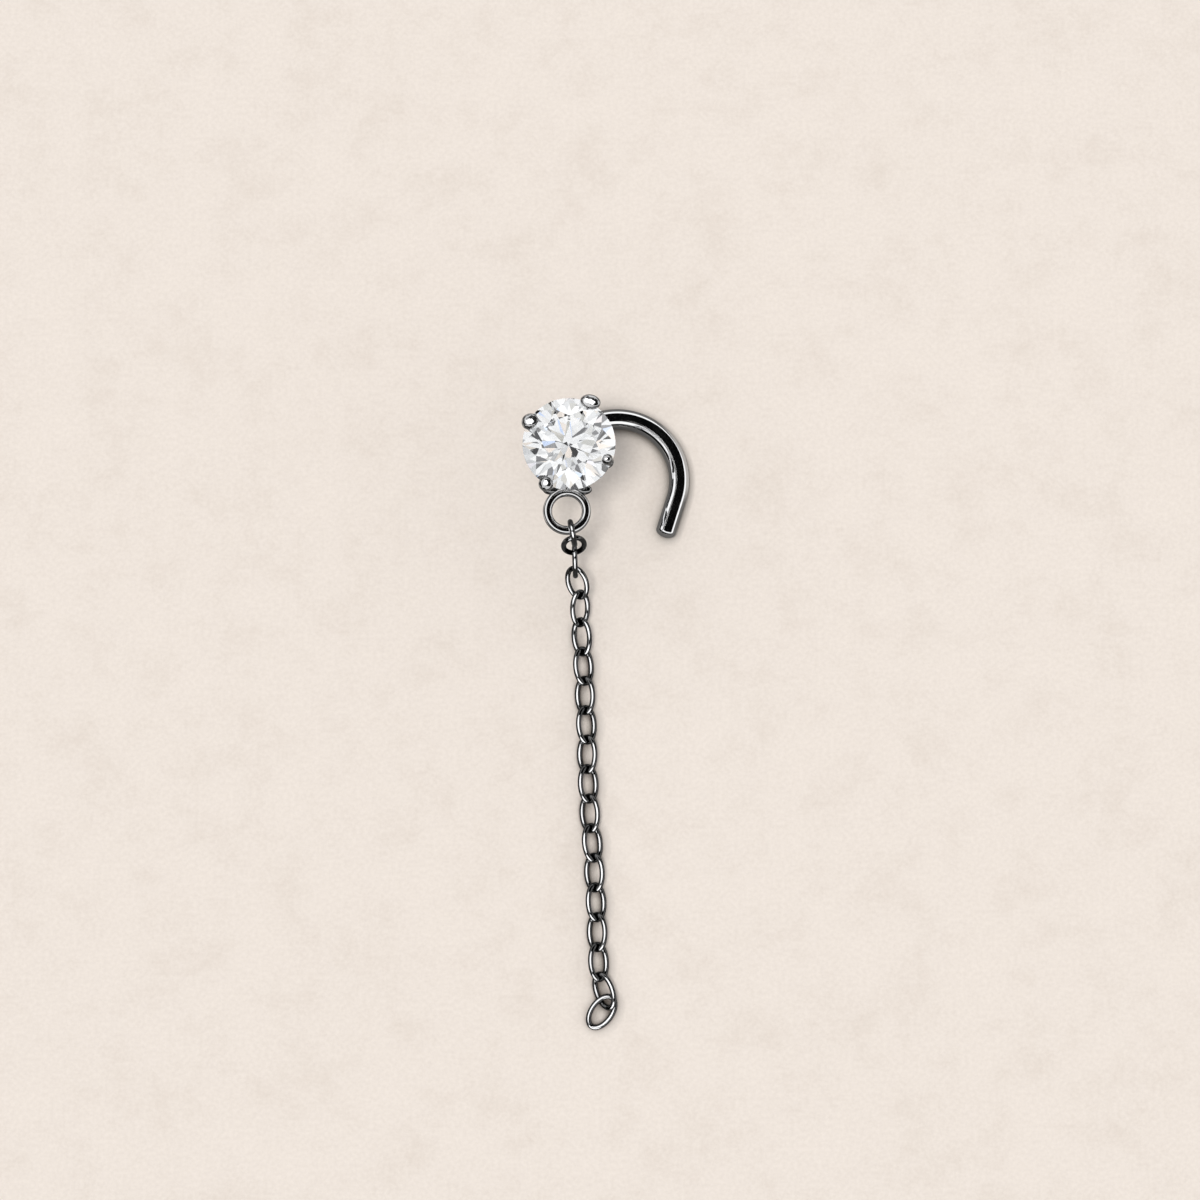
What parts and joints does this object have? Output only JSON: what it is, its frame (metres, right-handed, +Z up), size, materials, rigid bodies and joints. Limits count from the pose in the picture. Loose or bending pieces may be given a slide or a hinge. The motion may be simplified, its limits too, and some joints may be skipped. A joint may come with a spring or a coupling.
{
  "type": "chain drop earring",
  "caption": "Claw-set round stone on a bent wire post with a flat curl, and a bare cable chain hanging from a small ring soldered under the setting.",
  "frame": {"origin": "under the middle of the earring's box, on the surface that it stands on", "axes": "+Z up through the stone's table, +Y from the free end of the chain towards the stone, +X towards the curl of the post"},
  "size_m": [0.0082, 0.0312, 0.0092],
  "materials": {
    "steel": "mirror-polished stainless steel wire",
    "stone": "clear round brilliant-cut cubic zirconia"
  },
  "bodies": {
    "root": {"stud_body": "steel", "stone": "stone", "chain_links_01_03": "steel", "chain_links_04_07": "steel", "chain_links_08_11": "steel", "chain_links_12_15": "steel", "chain_links_16_19": "steel"}
  },
  "joints": []
}
